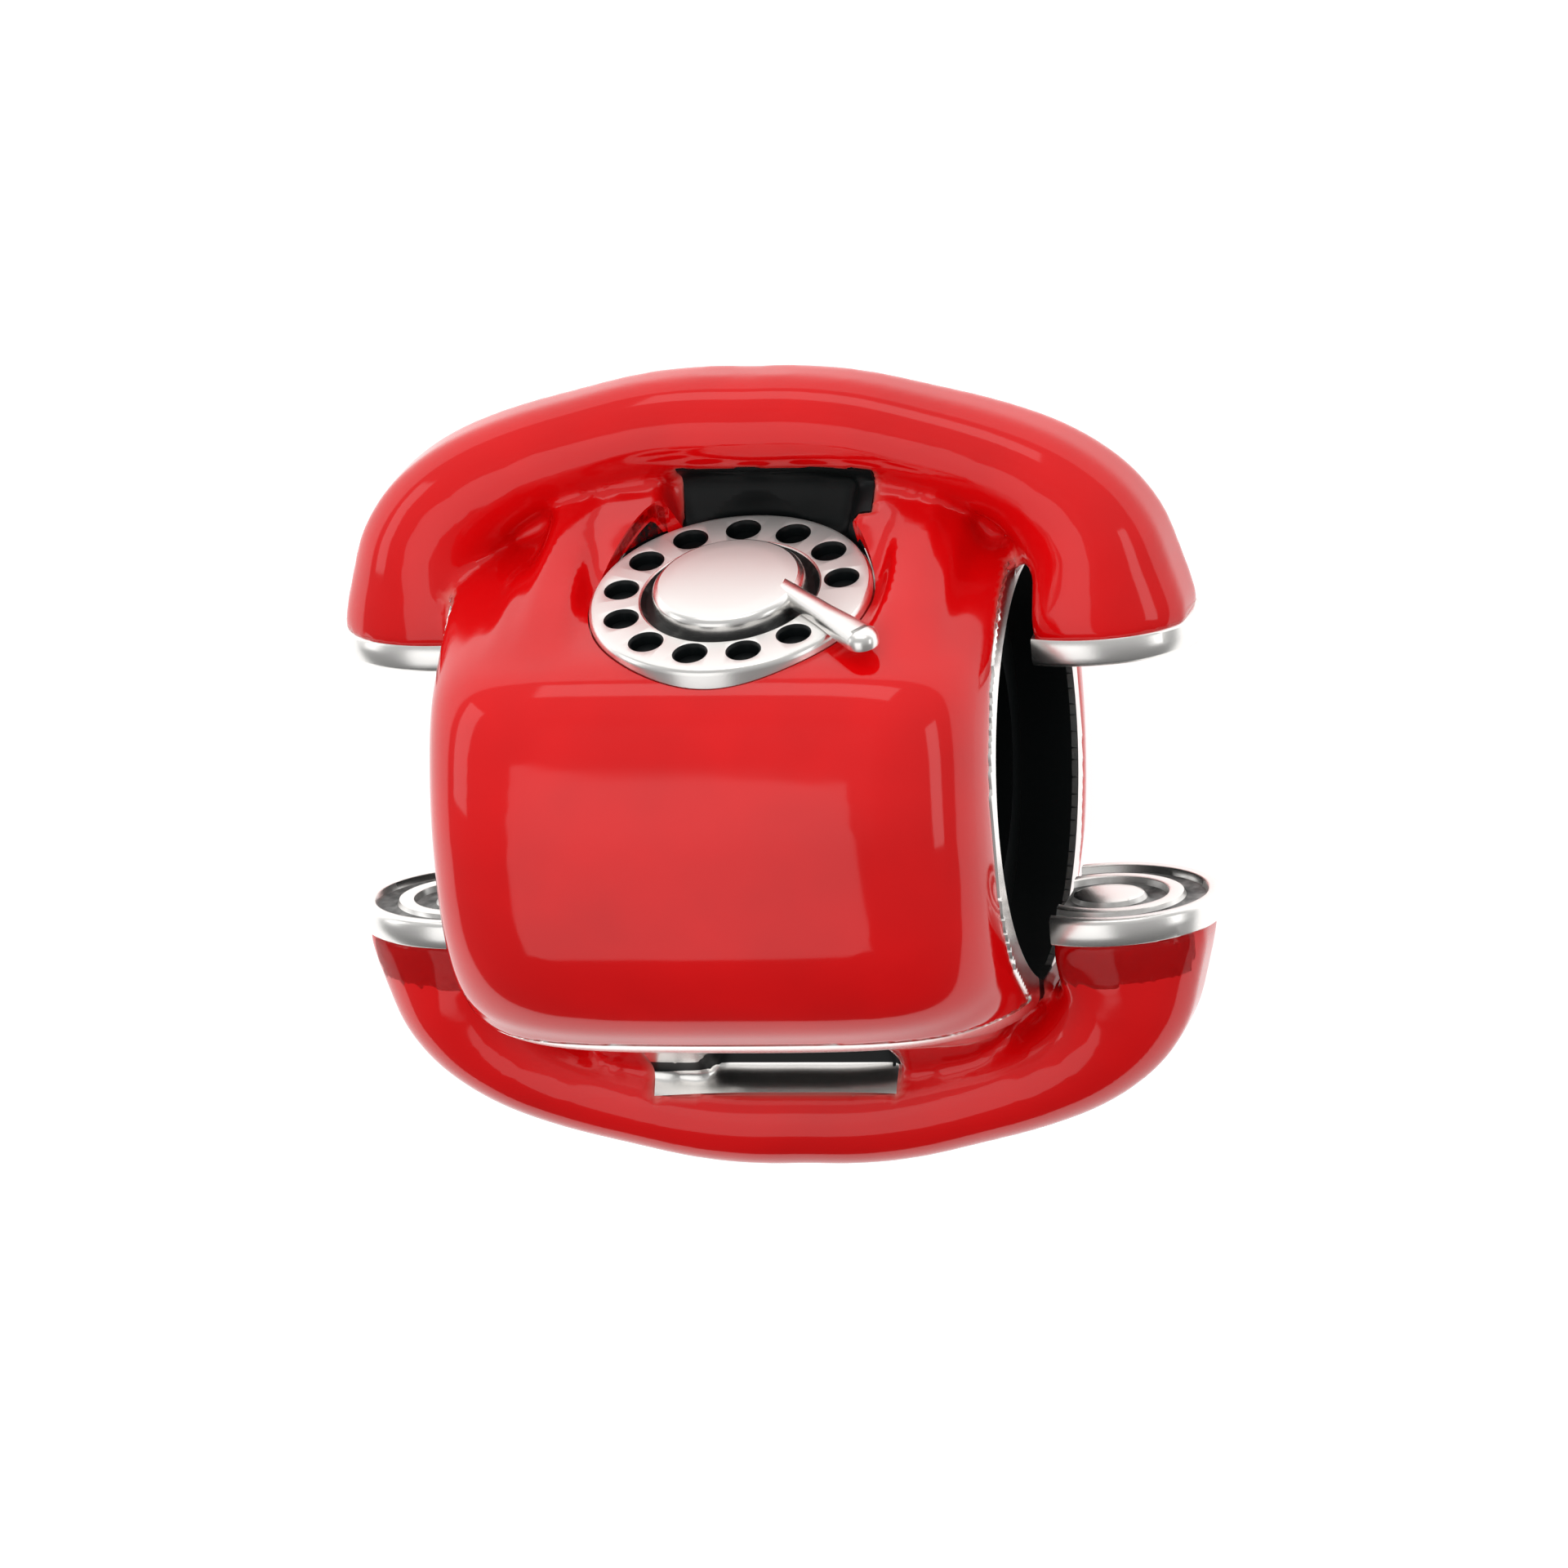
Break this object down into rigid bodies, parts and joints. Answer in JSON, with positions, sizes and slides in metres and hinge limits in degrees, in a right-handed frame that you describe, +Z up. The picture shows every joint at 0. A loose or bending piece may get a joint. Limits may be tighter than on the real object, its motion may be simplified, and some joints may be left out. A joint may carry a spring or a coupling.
{
  "type": "bracelet bead charm",
  "caption": "Silver bracelet bead shaped as red enamel dial telephones back to back, with a bore from side to side for the bracelet.",
  "frame": {"origin": "centre of the bead, on the bore axis, midway between the handsets", "axes": "+X along the bore to the front telephone's right, +Y to the front telephone's top, +Z up out of its front, as the bead lies on the back telephone"},
  "size_m": [0.0118, 0.011, 0.0086],
  "materials": {
    "silver": "polished sterling silver, dark in the recesses",
    "red_enamel": "glossy fired enamel"
  },
  "bodies": {
    "root": {"silver_casting": "silver", "front_body_enamel": "red_enamel", "back_body_enamel": "red_enamel", "front_handset_enamel": "red_enamel", "back_handset_enamel": "red_enamel"}
  },
  "joints": []
}
